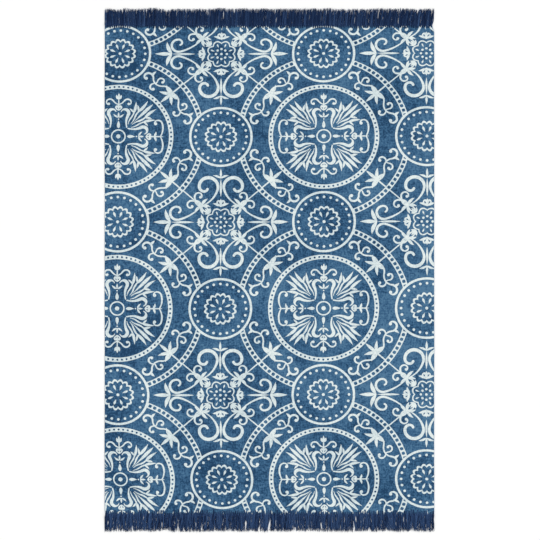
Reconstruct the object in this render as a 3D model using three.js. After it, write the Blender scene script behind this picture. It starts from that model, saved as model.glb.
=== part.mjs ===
// A flat-woven cotton rug with a yarn fringe knotted along each cut end, lying flat.
// Millimetres. +X across the rug, +Y along it towards the head end, +Z up.
// The origin is at the bottom centre of the whole rug, fringes included.

import * as THREE from "three";

// Driving dimensions
const FIELD_WIDTH = 1200;        // selvedge to selvedge
const FIELD_LENGTH = 1780;       // cut end to cut end, under the fringe knots
const FIELD_THICKNESS = 3.6;
const FRINGE_REACH = 62;         // from a cut end to the longest yarn tips
const FRINGE_THICKNESS = 3.2;
const FRINGE_HEADING = 5;        // depth of the knotted strip that carries the tassels
const TASSELS_PER_END = 150;
const PIECE_GAP = 0.3;           // between the cloth's cut end and the knots

// Unevenness of the cloth and the yarns
const SELVEDGE_STEP = 60;        // spacing of the points along a selvedge
const SELVEDGE_WANDER = 0.9;     // how far a selvedge strays inwards from straight
const TIP_SPREAD = 9;            // how much shorter the shortest tassel is
const TIP_WIDTH_SHARE = 0.72;    // a tassel's width at its tip, of its width at the heading
const TASSEL_FILL = 0.84;        // a tassel's width at the heading, of the tassel pitch
const TIP_TAPER = 4;             // length over which a tassel's end narrows to a blunt point

// Places where a selvedge is pulled in, measured from the cut end of the cloth.
const PULLS = [
  { side: 1, end: 1, depth: 7, start: 26 },
  { side: -1, end: -1, depth: 1.5, start: 30 },
];

const CLOTH_END = FIELD_LENGTH / 2;
const HALF_WIDTH = FIELD_WIDTH / 2;

/** Distance by which the cloth is drawn in at a place y on the given side (-1 or 1). */
function drawIn(side, y) {
  const phase = side * 0.9;
  const ripple = 0.5 + 0.3 * Math.sin(y / 97 + phase) + 0.2 * Math.sin(y / 41 - phase);
  let inset = SELVEDGE_WANDER * ripple;
  for (const pull of PULLS) {
    if (pull.side !== side) continue;
    const along = pull.start - (CLOTH_END - y * pull.end);
    const share = THREE.MathUtils.clamp(along / pull.start, 0, 1);
    inset += pull.depth * THREE.MathUtils.smoothstep(share, 0, 1);
  }
  return inset;
}

/** The places along a selvedge where its outline has a point, from one cut end to the other. */
function selvedgeStations() {
  const stations = [];
  const steps = Math.round(FIELD_LENGTH / SELVEDGE_STEP);
  for (let i = 0; i <= steps; i += 1) {
    stations.push(-CLOTH_END + (FIELD_LENGTH * i) / steps);
  }
  for (const pull of PULLS) {
    stations.push(pull.end * (CLOTH_END - pull.start));
    stations.push(pull.end * (CLOTH_END - pull.start / 2));
  }
  return stations.sort((a, b) => a - b);
}

/** The woven cloth: one flat slab whose selvedges wander a little. */
function wovenField() {
  const stations = selvedgeStations();
  const right = stations.map((y) => new THREE.Vector2(HALF_WIDTH - drawIn(1, y), y));
  const left = stations.map((y) => new THREE.Vector2(-HALF_WIDTH + drawIn(-1, y), y));
  const outline = new THREE.Shape([...right, ...left.reverse()]);
  return new THREE.ExtrudeGeometry(outline, { depth: FIELD_THICKNESS, bevelEnabled: false });
}

/** How far a tassel's tip falls short of the longest, for tassel number i of the given end. */
function tipShortfall(i, end) {
  const wave = 0.5 + 0.28 * Math.sin(i * 0.37 + end) + 0.22 * Math.sin(i * 2.3 - end * 0.6);
  return TIP_SPREAD * wave;
}

/** One fringe: a comb whose back is the row of knots and whose teeth are the tassels. */
function fringeComb(end) {
  const back = CLOTH_END + PIECE_GAP;
  const heading = back + FRINGE_HEADING;
  const reach = CLOTH_END + FRINGE_REACH;
  const leftEdge = -HALF_WIDTH + drawIn(-1, end * CLOTH_END);
  const rightEdge = HALF_WIDTH - drawIn(1, end * CLOTH_END);
  const pitch = (rightEdge - leftEdge) / TASSELS_PER_END;
  const tipPitch = FIELD_WIDTH / TASSELS_PER_END;
  const halfRoot = (pitch * TASSEL_FILL) / 2;
  const halfTip = halfRoot * TIP_WIDTH_SHARE;
  const longest = Math.min(
    ...Array.from({ length: TASSELS_PER_END }, (_, i) => tipShortfall(i, end)),
  );

  const points = [new THREE.Vector2(rightEdge, back), new THREE.Vector2(leftEdge, back)];
  for (let i = 0; i < TASSELS_PER_END; i += 1) {
    const root = leftEdge + pitch * (i + 0.5);
    const tip = -HALF_WIDTH + tipPitch * (i + 0.5);
    const far = reach - (tipShortfall(i, end) - longest);
    const first = i === 0 ? leftEdge : root - halfRoot;
    const last = i === TASSELS_PER_END - 1 ? rightEdge : root + halfRoot;
    points.push(new THREE.Vector2(first, heading));
    points.push(new THREE.Vector2(tip - halfTip, far - TIP_TAPER));
    points.push(new THREE.Vector2(tip, far));
    points.push(new THREE.Vector2(tip + halfTip, far - TIP_TAPER));
    points.push(new THREE.Vector2(last, heading));
  }
  const outline = new THREE.Shape(points.map((p) => new THREE.Vector2(p.x, p.y * end)));
  return new THREE.ExtrudeGeometry(outline, { depth: FRINGE_THICKNESS, bevelEnabled: false });
}

/** A named mesh with its own plain material. */
function piece(name, geometry, color) {
  const material = new THREE.MeshStandardMaterial({ color, roughness: 0.92, metalness: 0 });
  const mesh = new THREE.Mesh(geometry, material);
  mesh.name = name;
  return mesh;
}

const rug = new THREE.Group();
rug.add(piece("woven_field", wovenField(), 0x416586));
rug.add(piece("fringe_head", fringeComb(1), 0x1f304d));
rug.add(piece("fringe_foot", fringeComb(-1), 0x293d5b));

export default rug;
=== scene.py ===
"""A flat-woven cotton rug, printed in white on blue, with a yarn fringe along each end.

Metres, +X across the rug, +Y towards its head end, +Z up. The print is drawn in millimetres, in units of its
own, and becomes metres when it is laid on the cloth.
"""

import cmath
import itertools
import logging
import math
from dataclasses import dataclass, replace
from enum import Enum
from typing import Any, Iterator, NamedTuple, Union

import bmesh
import bpy
import numpy as np
from mathutils import Matrix, Vector
from mathutils.geometry import delaunay_2d_cdt


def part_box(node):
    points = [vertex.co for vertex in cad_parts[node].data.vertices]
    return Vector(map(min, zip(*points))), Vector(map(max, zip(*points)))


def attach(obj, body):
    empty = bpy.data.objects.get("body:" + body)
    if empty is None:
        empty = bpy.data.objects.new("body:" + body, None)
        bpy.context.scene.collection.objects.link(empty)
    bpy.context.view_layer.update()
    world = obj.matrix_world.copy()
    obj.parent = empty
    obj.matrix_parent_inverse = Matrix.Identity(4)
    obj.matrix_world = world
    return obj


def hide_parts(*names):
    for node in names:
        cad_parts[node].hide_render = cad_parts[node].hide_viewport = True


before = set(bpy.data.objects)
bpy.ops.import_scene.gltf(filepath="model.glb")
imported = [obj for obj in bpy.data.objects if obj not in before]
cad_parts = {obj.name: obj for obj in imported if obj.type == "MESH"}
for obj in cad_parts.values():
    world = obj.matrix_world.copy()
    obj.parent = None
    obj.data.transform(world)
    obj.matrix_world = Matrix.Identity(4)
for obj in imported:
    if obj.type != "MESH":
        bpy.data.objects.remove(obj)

LOG = logging.getLogger("rug")
MM = 0.001
TURN = 360.0
RIGHT_ANGLE = 90.0

SMOOTH = {"interpolation_type": "SMOOTHSTEP"}
COLOURS = {"data_type": "RGBA"}
WAVE_SCALE = math.pi / 10      # a Wave node of this scale has one band in each metre
MIX_FIRST, MIX_SECOND, MIX_RESULT = 6, 7, 2      # the colour sockets of a Mix node go by number


# ---------------------------------------------------------------- colours, nodes and mesh helpers


def linear(colour: str) -> tuple[float, float, float, float]:
    """Turns an sRGB hex colour into linear RGBA.

    Args:
        colour: Six hex digits after a hash sign.

    Returns:
        Red, green, blue and an alpha of 1.
    """
    channels = [int(colour[i:i + 2], 16) / 255 for i in (1, 3, 5)]
    return (*[c / 12.92 if c <= 0.04045 else ((c + 0.055) / 1.055) ** 2.4 for c in channels], 1.0)


def add_node(tree: bpy.types.NodeTree, kind: str, settings: dict[str, Any] | None = None,
             inputs: dict[Any, Any] | None = None) -> bpy.types.Node:
    """Adds one node, with its settings, its values and its links.

    Args:
        tree: The node tree that it joins.
        kind: The node's type name without its "ShaderNode" prefix.
        settings: Attributes to set on the node.
        inputs: For each input, by name or number, a value or the output socket that feeds it.

    Returns:
        The new node.
    """
    node = tree.nodes.new("ShaderNode" + kind)
    for name, value in (settings or {}).items():
        setattr(node, name, value)
    for name, value in (inputs or {}).items():
        if isinstance(value, bpy.types.NodeSocket):
            tree.links.new(value, node.inputs[name])
        else:
            node.inputs[name].default_value = value
    return node


def span(value: bpy.types.NodeSocket, low: float, high: float, to_low: float = 0.0,
         to_high: float = 1.0) -> dict[str, Any]:
    """Returns the inputs that stretch a value from one range to another.

    Args:
        value: The socket that gives the value.
        low: The value that becomes to_low.
        high: The value that becomes to_high.
        to_low: The lower result.
        to_high: The upper result.

    Returns:
        The inputs, by name.
    """
    return {"Value": value, "From Min": low, "From Max": high, "To Min": to_low, "To Max": to_high}


def new_material(name: str, values: dict[str, float]
                 ) -> tuple[bpy.types.Material, bpy.types.NodeTree, bpy.types.Node]:
    """Makes a material with a Principled shader.

    Args:
        name: The material's name.
        values: The constant values on the shader's own inputs, by name.

    Returns:
        The material, its node tree and its shader.
    """
    material = bpy.data.materials.new(name)
    material.use_nodes = True
    tree = material.node_tree
    tree.nodes.clear()
    shader = add_node(tree, "BsdfPrincipled", inputs=values)
    add_node(tree, "OutputMaterial", inputs={"Surface": shader.outputs["BSDF"]})
    return material, tree, shader


def new_object(name: str, mesh: bpy.types.Mesh) -> bpy.types.Object:
    """Puts a mesh into the scene as an object at the origin.

    Args:
        name: The object's name.
        mesh: Its mesh.

    Returns:
        The new object.
    """
    piece = bpy.data.objects.new(name, mesh)
    bpy.context.scene.collection.objects.link(piece)
    return piece


def smoothstep(share: np.ndarray) -> np.ndarray:
    """Eases 0 to 1 with a flat start and a flat end; clamps what lies outside."""
    share = np.clip(share, 0, 1)
    return share * share * (3 - 2 * share)


def uneven_wave(place: np.ndarray, long_wave: float, short_wave: float, shift: float,
                short_shift: float) -> np.ndarray:
    """Adds a long wave and a short one, so that their sum stays between 0 and 1.

    Args:
        place: Places along a line.
        long_wave: The long wave's length, divided by a full turn in radians.
        short_wave: The short one's, likewise.
        shift: How far on the long wave begins, in radians.
        short_shift: How far on the short one does.

    Returns:
        The sum at each place.
    """
    steady, long_share, short_share = 0.5, 0.3, 0.2
    long_part = long_share * np.sin(place / long_wave + shift)
    return steady + long_part + short_share * np.sin(place / short_wave + short_shift)


def eased(value: np.ndarray, low: float, high: float) -> np.ndarray:
    """Returns 0 where a value is at or below low, 1 where it is at or above high, and eases between them."""
    return smoothstep((value - low) / (high - low))


# ---------------------------------------------------------------- finishes


class Mottle(NamedTuple):
    """One scale of unevenness in the dye.

    It has the size of its patches, its finer layers, how far its noise strays from a half, how much that
    changes the tone, and how it is stretched along X, Y and Z.
    """

    size: float
    detail: float
    stray: float
    depth: float
    stretch: tuple[float, float, float] = (1.0, 1.0, 1.0)


@dataclass(frozen=True)
class PrintedCotton:
    """Flat-woven cotton, dyed blue and stonewashed, with a white pigment print on its upper face.

    The dye gives soft clouds of lighter and darker blue, the uneven threads short streaks along the warp and
    the weft, the washing a fine grain at the thread crossings. The pigment sits on the ribs of the weave, so
    that the print is matt and a little worn.
    """

    ground_dark: str = "#1C3F5F"
    ground: str = "#386083"
    ground_light: str = "#507796"
    pigment: str = "#E2EBE9"
    pigment_worn: str = "#CAD8DB"
    roughness: float = 0.95
    sheen: float = 0.05
    specular: float = 0.15
    painted_light_across: float = 0.16             # painted light: how much the cloth lightens in each metre from left to right, as the light falls brighter on the right
    noise_roughness: float = 0.55
    grain: float = 5.6 * MM        # two threads of the weave; one alone is too fine to show
    grain_span: tuple[float, float] = (0.2, 0.8)       # the grain's noise, from its darkest to its lightest
    mottles: tuple[Mottle, ...] = (
        Mottle(480 * MM, 0, 0.25, 0.13), Mottle(170 * MM, 2, 0.2, 0.3), Mottle(34 * MM, 3, 0.25, 0.2),
        Mottle(4 * MM, 1, 0.25, 0.2, (1, 0.15, 1)), Mottle(4 * MM, 1, 0.25, 0.2, (0.15, 1, 1)))
    lightening: tuple[float, float] = (0.5, 1.15)      # the tones between which the ground turns light
    darkening: tuple[float, float] = (0.56, -0.1)      # and dark
    wearing: tuple[float, float] = (0.95, 0.05)        # and the pigment worn
    rub: tuple[float, float] = (0.22, 0.42)            # the grain between which the pigment is rubbed thin
    rubbed_cover: float = 0.88
    rib_pitch: float = 3.4 * MM
    pick_pitch: float = 2.3 * MM
    thread_waver: float = 1.2      # how far the ribs and picks stray from straight
    thread_waver_scale: float = 0.6
    rib_height: float = 0.5 * MM
    rib_strength: float = 0.55
    grain_height: float = 0.5      # the grain's part in the height, beside the weave's

    def build(self) -> bpy.types.Material:
        """Builds the material from the cloth's place and its face attribute "ink".

        Returns:
            The material.
        """
        material, tree, shader = new_material("printed_cotton_flatweave", {
            "Roughness": self.roughness, "Sheen Weight": self.sheen, "Specular IOR Level": self.specular})
        place = add_node(tree, "TexCoord").outputs["Object"]
        ink = add_node(tree, "Attribute", {"attribute_name": PrintedCloth.INK}).outputs["Fac"]
        grain = add_node(tree, "TexNoise", inputs={
            "Vector": place, "Scale": 1 / self.grain, "Detail": 1,
            "Roughness": self.noise_roughness}).outputs["Fac"]
        tone = self._tone(tree, place, grain)
        light = add_node(tree, "MapRange", SMOOTH, span(tone, *self.lightening)).outputs["Result"]
        dark = add_node(tree, "MapRange", SMOOTH, span(tone, *self.darkening)).outputs["Result"]
        worn = add_node(tree, "MapRange", SMOOTH, span(tone, *self.wearing)).outputs["Result"]
        lighter = add_node(tree, "Mix", COLOURS, {
            "Factor": light, MIX_FIRST: linear(self.ground), MIX_SECOND: linear(self.ground_light)})
        ground = add_node(tree, "Mix", COLOURS, {
            "Factor": dark, MIX_FIRST: lighter.outputs[MIX_RESULT], MIX_SECOND: linear(self.ground_dark)})
        white = add_node(tree, "Mix", COLOURS, {
            "Factor": worn, MIX_FIRST: linear(self.pigment), MIX_SECOND: linear(self.pigment_worn)})
        rubbed = add_node(tree, "MapRange", SMOOTH, span(grain, *self.rub, self.rubbed_cover, 1))
        cover = add_node(tree, "Math", {"operation": "MULTIPLY"}, {0: ink, 1: rubbed.outputs["Result"]})
        colour = add_node(tree, "Mix", COLOURS, {
            "Factor": cover.outputs[0], MIX_FIRST: ground.outputs[MIX_RESULT],
            MIX_SECOND: white.outputs[MIX_RESULT]})
        tree.links.new(colour.outputs[MIX_RESULT], shader.inputs["Base Color"])
        bump = add_node(tree, "Bump", inputs={
            "Strength": self.rib_strength, "Distance": self.rib_height,
            "Height": self._weave(tree, place, grain)})
        tree.links.new(bump.outputs["Normal"], shader.inputs["Normal"])
        return material

    def _tone(self, tree: bpy.types.NodeTree, place: bpy.types.NodeSocket,
              grain: bpy.types.NodeSocket) -> bpy.types.NodeSocket:
        """Adds up the grain, the painted light that lightens the cloth from left to right, and every scale of
        unevenness in the dye.

        Args:
            tree: The material's node tree.
            place: The socket that gives the place on the cloth.
            grain: The fine noise of the thread crossings.

        Returns:
            The socket that gives the tone: about 0 where the cloth is darkest and 1 where it is lightest.
        """
        across = add_node(tree, "SeparateXYZ", inputs={"Vector": place}).outputs["X"]
        fine = add_node(tree, "MapRange", SMOOTH, span(grain, *self.grain_span)).outputs["Result"]
        # painted light: the tone rises from left to right, as the light falls brighter on the right
        painted_light_tone = add_node(tree, "Math", {"operation": "MULTIPLY_ADD"}, {0: across, 1: self.painted_light_across, 2: fine})
        tone = painted_light_tone.outputs[0]
        for mottle in self.mottles:
            stretched = add_node(tree, "Mapping", inputs={"Vector": place, "Scale": mottle.stretch})
            noise = add_node(tree, "TexNoise", inputs={
                "Vector": stretched.outputs["Vector"], "Scale": 1 / mottle.size, "Detail": mottle.detail,
                "Roughness": self.noise_roughness})
            change = add_node(tree, "MapRange", SMOOTH, span(
                noise.outputs["Fac"], 0.5 - mottle.stray, 0.5 + mottle.stray, -mottle.depth, mottle.depth))
            added = add_node(tree, "Math", {"operation": "ADD"}, {0: tone, 1: change.outputs["Result"]})
            tone = added.outputs[0]
        return tone

    def _weave(self, tree: bpy.types.NodeTree, place: bpy.types.NodeSocket,
               grain: bpy.types.NodeSocket) -> bpy.types.NodeSocket:
        """Adds the height of a plain weave: ribs along the warp, crossed by the picks of the weft.

        Args:
            tree: The material's node tree.
            place: The socket that gives the place on the cloth.
            grain: The fine noise that makes the threads uneven.

        Returns:
            The socket that gives the height, from 0 to about 1.
        """
        ribs, picks = (
            add_node(tree, "TexWave", {"bands_direction": direction}, {
                "Vector": place, "Scale": WAVE_SCALE / pitch, "Distortion": self.thread_waver, "Detail": 1.0,
                "Detail Scale": self.thread_waver_scale})
            for direction, pitch in (("X", self.rib_pitch), ("Y", self.pick_pitch)))
        woven = add_node(tree, "Math", {"operation": "MULTIPLY"}, {
            0: ribs.outputs["Fac"], 1: picks.outputs["Fac"]})
        height = add_node(tree, "Math", {"operation": "MULTIPLY_ADD"}, {
            0: grain, 1: self.grain_height, 2: woven.outputs[0]})
        return height.outputs[0]


@dataclass(frozen=True)
class FringeYarn:
    """Soft two-ply cotton yarn, dyed navy: matt, each strand its own shade, with its twist just showing in
    its bump and in painted shade along the twist's grooves.
    """

    dark: str = "#0C1D3C"
    middle: str = "#1C3358"
    light: str = "#3C5780"
    roughness: float = 0.95
    sheen: float = 0.04
    specular: float = 0.1
    ply_pitch: float = 4.2 * MM
    ply_height: float = 0.25 * MM
    ply_strength: float = 0.5
    ply_scale: float = 0.62          # the twist's scale, for a UV map whose unit is one ply
    ply_waver: float = 0.8
    ply_groove_painted_shade: float = 0.35          # painted shade: how much the twist darkens a strand in its grooves, where its bump is low
    fibre_scale: float = 2.4
    fibre_detail: float = 2.0
    fibre_span: tuple[float, float] = (0.3, 0.7)       # the fibres' noise, from darkest to lightest
    fibre_shade: float = 0.5         # and how much they change the shade

    def build(self) -> bpy.types.Material:
        """Builds the material from each strand's own UV map and its face attribute "shade".

        Returns:
            The material.
        """
        material, tree, shader = new_material("two_ply_cotton_yarn", {
            "Roughness": self.roughness, "Sheen Weight": self.sheen, "Specular IOR Level": self.specular})
        tone = add_node(tree, "Attribute", {"attribute_name": YarnFringe.SHADE}).outputs["Fac"]
        strand = add_node(tree, "UVMap", {"uv_map": YarnFringe.UV}).outputs["UV"]
        twist = add_node(tree, "TexWave", {"bands_direction": "DIAGONAL"}, {
            "Vector": strand, "Scale": self.ply_scale, "Distortion": self.ply_waver,
            "Detail": 1.0}).outputs["Fac"]
        fibre = add_node(tree, "TexNoise", inputs={
            "Vector": strand, "Scale": self.fibre_scale, "Detail": self.fibre_detail}).outputs["Fac"]
        # painted shade: the twist's low bands, which are the grooves of its bump, are made darker
        layers = ((fibre, self.fibre_span, self.fibre_shade), (twist, (0, 1), self.ply_groove_painted_shade))
        for value, ends, depth in layers:
            about = add_node(tree, "MapRange", SMOOTH, span(value, *ends, -0.5, 0.5))
            shaded = add_node(tree, "Math", {"operation": "MULTIPLY_ADD"}, {
                0: about.outputs["Result"], 1: depth, 2: tone})
            tone = shaded.outputs[0]
        colour = add_node(tree, "ValToRGB", inputs={"Fac": tone})
        stops = colour.color_ramp.elements
        stops[0].color = linear(self.dark)
        stops[1].color = linear(self.light)
        stops.new(0.5).color = linear(self.middle)
        tree.links.new(colour.outputs["Color"], shader.inputs["Base Color"])
        bump = add_node(tree, "Bump", inputs={
            "Strength": self.ply_strength, "Distance": self.ply_height, "Height": twist})
        tree.links.new(bump.outputs["Normal"], shader.inputs["Normal"])
        return material


@dataclass(frozen=True)
class PaleFloor:
    """A smooth matt white studio floor, with the faintest unevenness in its paint."""

    white: str = "#FCFCFB"
    shaded: str = "#F8F8F7"
    roughness: float = 0.85
    patch: float = 0.9

    def build(self) -> bpy.types.Material:
        """Builds the material from the floor's place.

        Returns:
            The material.
        """
        material, tree, shader = new_material("matt_white_paint", {"Roughness": self.roughness})
        place = add_node(tree, "TexCoord").outputs["Object"]
        patch = add_node(tree, "TexNoise", inputs={"Vector": place, "Scale": 1 / self.patch}).outputs["Fac"]
        colour = add_node(tree, "Mix", COLOURS, {
            "Factor": patch, MIX_FIRST: linear(self.white), MIX_SECOND: linear(self.shaded)})
        tree.links.new(colour.outputs[MIX_RESULT], shader.inputs["Base Color"])
        return material


# ---------------------------------------------------------------- the print's ornament, in millimetres


def polar(radius: float, angle: float) -> complex:
    """Returns the place at a radius and an angle in degrees."""
    return cmath.rect(radius, math.radians(angle))


class Bend(NamedTuple):
    """A stretch of a scroll that turns through an angle while its radius eases from one value to another.

    A turn to the left is positive. A turn of 0 makes it straight, with the first radius as its length.
    """

    turn: float
    start: float
    end: float


class Weight(NamedTuple):
    """A scroll's width at its root, where it is broadest and at its tip, and how far along it is broadest."""

    root: float
    belly: float
    tip: float
    peak: float = 0.6


class Leaf(NamedTuple):
    """A leaf, pointed at both ends. Its belly is where it is broadest, its bend the turn from base to tip."""

    along: float
    off: float
    heading: float
    length: float
    width: float
    bend: float = 0.0
    belly: float = 0.45


class Dot(NamedTuple):
    """A round dot."""

    along: float
    off: float
    radius: float


class Fan(NamedTuple):
    """A fan of leaves: the outer ones are shorter by droop and curl away from the middle."""

    along: float
    off: float
    heading: float
    leaves: int
    spread: float
    length: float
    width: float
    droop: float
    curl: float


class Scroll(NamedTuple):
    """A stroke of changing weight along a chain of bends, with an eye and further parts at its end."""

    along: float
    off: float
    heading: float
    bends: tuple[Bend, ...]
    weight: Weight
    eye: float = 0.0
    then: tuple = ()


Part = Union[Leaf, Dot, Fan, Scroll]


class Motif(NamedTuple):
    """A motif about an axis: the parts on it, and the parts that stand on both sides of it."""

    axis: tuple[Part, ...]
    sides: tuple[Part, ...]


class Outline(NamedTuple):
    """A closed outline in the print, and whether it adds pigment or leaves the cloth bare."""

    line: np.ndarray
    ink: bool


CURVE_TOLERANCE = 0.14      # how far a straight run may stray from the true curve
TURN_STEP = 5.0             # how far a scroll turns between two points of its middle line, in degrees
LEAF_STEPS = 14
ARC_STEPS = 3               # the fewest on an arc
BEND_STEPS = 4              # and on a scroll's bend
SCALLOP_POINTS = 8          # on each arc of a scalloped ring
ROUND_CAP = 2.0             # a stroke's end broader than this is rounded
POINTLIKE = 1e-9            # a chord shorter than this has no direction


def thinned(line: np.ndarray) -> np.ndarray:
    """Drops the points of a line that its neighbours already stand for.

    Args:
        line: The points, as complex numbers.

    Returns:
        The points that are needed to keep within the tolerance.
    """
    keep = np.zeros(len(line), bool)
    keep[[0, -1]] = True
    spans = [(0, len(line) - 1)]
    while spans:
        first, last = spans.pop()
        if last - first < 2:
            continue
        chord = line[last] - line[first]
        offsets = line[first + 1:last] - line[first]
        if abs(chord) > POINTLIKE:
            gaps = np.abs((offsets * np.conj(chord)).imag) / abs(chord)
        else:
            gaps = np.abs(offsets)
        worst = int(gaps.argmax())
        if gaps[worst] > CURVE_TOLERANCE:
            middle = first + 1 + worst
            keep[middle] = True
            spans += [(first, middle), (middle, last)]
    return line[keep]


def arc(radius: float, start: float, sweep: float) -> np.ndarray:
    """Returns the points of an arc about 0.

    Args:
        radius: The arc's radius.
        start: The angle where it starts, in degrees.
        sweep: The angle that it covers, left being positive.

    Returns:
        The points, both ends included.
    """
    sag = 1 - CURVE_TOLERANCE / max(radius, 2 * CURVE_TOLERANCE)
    steps = max(ARC_STEPS, math.ceil(math.radians(abs(sweep)) / (2 * math.acos(sag))))
    return radius * np.exp(1j * np.radians(np.linspace(start, start + sweep, steps + 1)))


@dataclass(frozen=True)
class Pen:
    """Draws parts in a frame of its own, whose +X is the way a motif points."""

    outlines: list[Outline]
    place: complex = 0j
    heading: complex = 1 + 0j
    mirrored: bool = False

    def at(self, place: complex, turn: float = 0.0) -> "Pen":
        """Returns a pen moved to a place in this one's frame and turned from there.

        Args:
            place: Where it goes.
            turn: How far it turns to the left, in degrees.

        Returns:
            The moved pen, on the same outlines.
        """
        step, facing = place + 0j, polar(1, turn)
        if self.mirrored:
            step, facing = step.conjugate(), facing.conjugate()
        return replace(self, place=self.place + self.heading * step, heading=self.heading * facing)

    def sides(self) -> Iterator["Pen"]:
        """Yields this pen and its mirror image about its own axis."""
        yield self
        yield replace(self, mirrored=not self.mirrored)

    def diagonals(self, angle: float) -> Iterator["Pen"]:
        """Yields pens for the four quarters round this one, each turned to an angle from the axis across.

        Args:
            angle: The angle, in degrees.

        Returns:
            The four pens, one at a time.
        """
        for side in self.sides():
            for turn in (0, TURN / 2):
                quarter = side.at(0, turn)
                yield quarter.at(0, angle)

    def add(self, line: np.ndarray, ink: bool = True) -> None:
        """Adds a closed outline that is given in this pen's frame."""
        line = np.conj(line) if self.mirrored else line
        self.outlines.append(Outline(self.place + self.heading * line, ink))

    def dot(self, radius: float, ink: bool = True) -> None:
        """Adds a round dot about this pen's place."""
        self.add(arc(radius, 0, TURN)[:-1], ink)

    def band(self, radius: float, width: float, start: float = 0.0, sweep: float = TURN) -> None:
        """Adds a ring, or a part of one.

        Args:
            radius: The radius of its middle line.
            width: Its width.
            start: The angle where it starts, in degrees.
            sweep: The angle that it covers.
        """
        outer = arc(radius + width / 2, start, sweep)
        inner = arc(radius - width / 2, start + sweep, -sweep)
        self.add(np.concatenate([outer, inner]))

    def motif(self, motif: Motif) -> None:
        """Draws a motif about this pen's axis.

        Args:
            motif: The motif.
        """
        self.parts(motif.axis)
        for side in self.sides():
            side.parts(motif.sides)

    def parts(self, parts: tuple[Part, ...]) -> None:
        """Draws a row of parts, each in the way of its kind.

        Args:
            parts: The parts, placed in this pen's frame.
        """
        for part in parts:
            here = self.at(complex(part.along, part.off), getattr(part, "heading", 0.0))
            if isinstance(part, Leaf):
                here.leaf(part.length, part.width, part.bend, part.belly)
            elif isinstance(part, Dot):
                here.dot(part.radius)
            elif isinstance(part, Fan):
                here.fan(part)
            else:
                here.scroll(part)

    def leaf(self, length: float, width: float, bend: float = 0.0, belly: float = 0.45) -> None:
        """Draws a leaf from here along the heading.

        Args:
            length: Its length from base to tip.
            width: Its greatest width.
            bend: How far its middle line turns, in degrees.
            belly: How far along it is broadest, as a share of its length.
        """
        share = np.linspace(0, 1, LEAF_STEPS + 1)
        half = np.sin(math.pi * share ** (math.log(0.5) / math.log(belly))) * width / 2
        heading = np.exp(1j * np.radians(bend) * share)
        middle = np.concatenate([[0], np.cumsum((heading[1:] + heading[:-1]) / 2)]) * length / LEAF_STEPS
        left = thinned(middle + 1j * heading * half)
        right = thinned(middle - 1j * heading * half)
        self.add(np.concatenate([left, right[::-1][1:-1]]))

    def scallops(self, valley: float, rise: float, arcs: int, line: float) -> None:
        """Draws a ring of arcs that bow outwards, and leaves what is inside it bare.

        Args:
            valley: The radius where two arcs meet, at the middle of the line.
            rise: How far an arc bows out beyond that.
            arcs: How many there are.
            line: The line's width.
        """
        angle = np.linspace(0, 2 * math.pi, arcs * SCALLOP_POINTS + 1)[:-1]
        bow = rise * np.abs(np.sin(arcs * angle / 2))
        for edge, ink in ((valley + line / 2, True), (valley - line / 2, False)):
            self.add((edge + bow) * np.exp(1j * angle), ink)

    def fan(self, fan: Fan) -> None:
        """Draws a fan of leaves about the heading.

        Args:
            fan: The fan; its place and heading are already this pen's.
        """
        for number in range(fan.leaves):
            off = 2 * number / (fan.leaves - 1) - 1
            reach = fan.length * (1 - (1 - fan.droop) * abs(off))
            self.at(0, off * fan.spread / 2).leaf(reach, fan.width, off * fan.curl)

    def scroll(self, scroll: Scroll) -> None:
        """Draws a scroll from here along the heading, then its eye and what grows from its end.

        Args:
            scroll: The scroll; its place and heading are already this pen's.
        """
        line, angles = self._middle_line(scroll.bends)
        weight = scroll.weight
        reach = np.concatenate([[0], np.cumsum(np.abs(np.diff(line)))])
        share = reach / reach[-1]
        width = weight.root + (weight.belly - weight.root) * eased(share, 0, weight.peak)
        width = width + (weight.tip - weight.belly) * eased(share, weight.peak, 1)
        side = 1j * np.exp(1j * np.radians(angles)) * width / 2
        edge = [thinned(line + side), thinned(line - side)[::-1]]
        if weight.tip > ROUND_CAP:
            edge.insert(1, line[-1] + arc(weight.tip / 2, angles[-1] + RIGHT_ANGLE, -TURN / 2)[1:-1])
        if weight.root > ROUND_CAP:
            edge.append(line[0] + arc(weight.root / 2, angles[0] - RIGHT_ANGLE, -TURN / 2)[1:-1])
        self.add(np.concatenate(edge))
        end = self.at(complex(line[-1]), angles[-1])
        if scroll.eye:
            inward = math.copysign(scroll.eye - weight.tip / 2, scroll.bends[-1].turn)
            end.at(1j * inward).dot(scroll.eye)
        end.parts(scroll.then)

    @staticmethod
    def _middle_line(bends: tuple[Bend, ...]) -> tuple[np.ndarray, list[float]]:
        """Follows a chain of bends from 0 along +X.

        Args:
            bends: The bends in order.

        Returns:
            The points of the line, and the heading at each in degrees.
        """
        place, angle = 0j, 0.0
        line, angles = [place], [angle]
        for bend in bends:
            steps = max(BEND_STEPS, math.ceil(abs(bend.turn) / TURN_STEP))
            for step in range(steps):
                share = (step + 0.5) / steps
                radius = bend.start * (bend.end / bend.start) ** share
                run = math.radians(abs(bend.turn)) * radius if bend.turn else bend.start
                place += polar(run / steps, angle + bend.turn * share)
                line.append(place)
                angles.append(angle + bend.turn * (step + 1) / steps)
            angle += bend.turn
        return np.array(line), angles


def volute(root: complex, centre: complex, radius: float, join: float) -> Scroll:
    """Returns a volute: an arc that runs from its root smoothly into a round head.

    Args:
        root: Where its stem begins.
        centre: The middle of the circle that the head fills.
        radius: The circle's radius.
        join: The way that the stem points where the head begins, in degrees.

    Returns:
        The volute, which winds to the left.
    """
    head, waist, coil, core, belly, tip = (share * radius for share in (0.86, 0.74, 0.5, 0.26, 0.29, 0.22))
    chord = centre + polar(head, join - RIGHT_ANGLE) - root
    turn = 2 * (join - math.degrees(cmath.phase(chord)))
    stem = abs(chord) / 2 / abs(math.sin(math.radians(turn / 2)))
    winding = (Bend(turn, stem, stem), Bend(200, head, waist), Bend(160, coil, core))
    return Scroll(root.real, root.imag, join - turn, winding, Weight(4, belly, tip, 0.62))


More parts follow.
